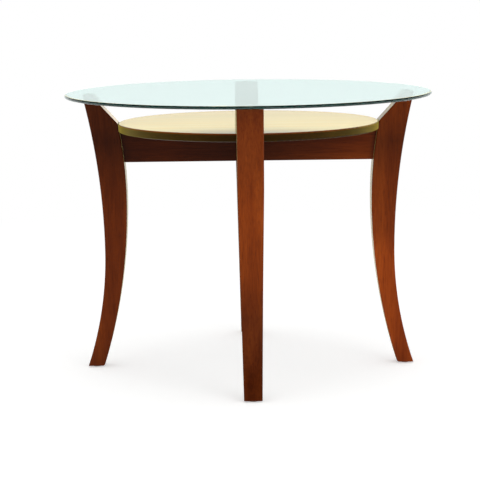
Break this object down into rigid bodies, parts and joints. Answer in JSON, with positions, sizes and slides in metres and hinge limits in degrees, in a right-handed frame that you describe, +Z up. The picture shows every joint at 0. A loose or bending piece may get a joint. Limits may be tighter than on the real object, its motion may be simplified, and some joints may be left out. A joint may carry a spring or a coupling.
{
  "type": "corner table",
  "caption": "Corner table with a loose round glass top on splayed sabre legs, joined by crossed rails that carry a round wooden shelf just under the glass.",
  "frame": {"origin": "on the floor under the middle of the table", "axes": "+Z up, -Y towards the front leg, +X towards the right leg"},
  "size_m": [0.7359, 0.736, 0.56],
  "materials": {
    "clear_glass": "polished clear float glass with a faint aqua cast",
    "cherry_shelf": "cherry stain under gloss lacquer",
    "cherry_rails": "cherry stain under gloss lacquer",
    "cherry_legs": "cherry stain under gloss lacquer",
    "clear_bumper": "soft clear polyurethane",
    "nylon_glide": "satin natural nylon",
    "plated_steel": "zinc plated"
  },
  "bodies": {
    "frame": {"shelf": "cherry_shelf", "rail_left_right": "cherry_rails", "rail_front_back": "cherry_rails", "leg_front": "cherry_legs", "leg_back": "cherry_legs", "leg_left": "cherry_legs", "leg_right": "cherry_legs", "bumper_front": "clear_bumper", "bumper_back": "clear_bumper", "bumper_left": "clear_bumper", "bumper_right": "clear_bumper", "glide_front": "nylon_glide", "glide_back": "nylon_glide", "glide_left": "nylon_glide", "glide_right": "nylon_glide", "shelf_screws": "plated_steel", "glide_nails": "plated_steel"},
    "top": {"glass_top": "clear_glass"}
  },
  "joints": [
    {"name": "glass_lift", "type": "slide", "parent": "frame", "child": "top", "axis": [0, 0, 1], "range_m": [0, 0.1]}
  ]
}
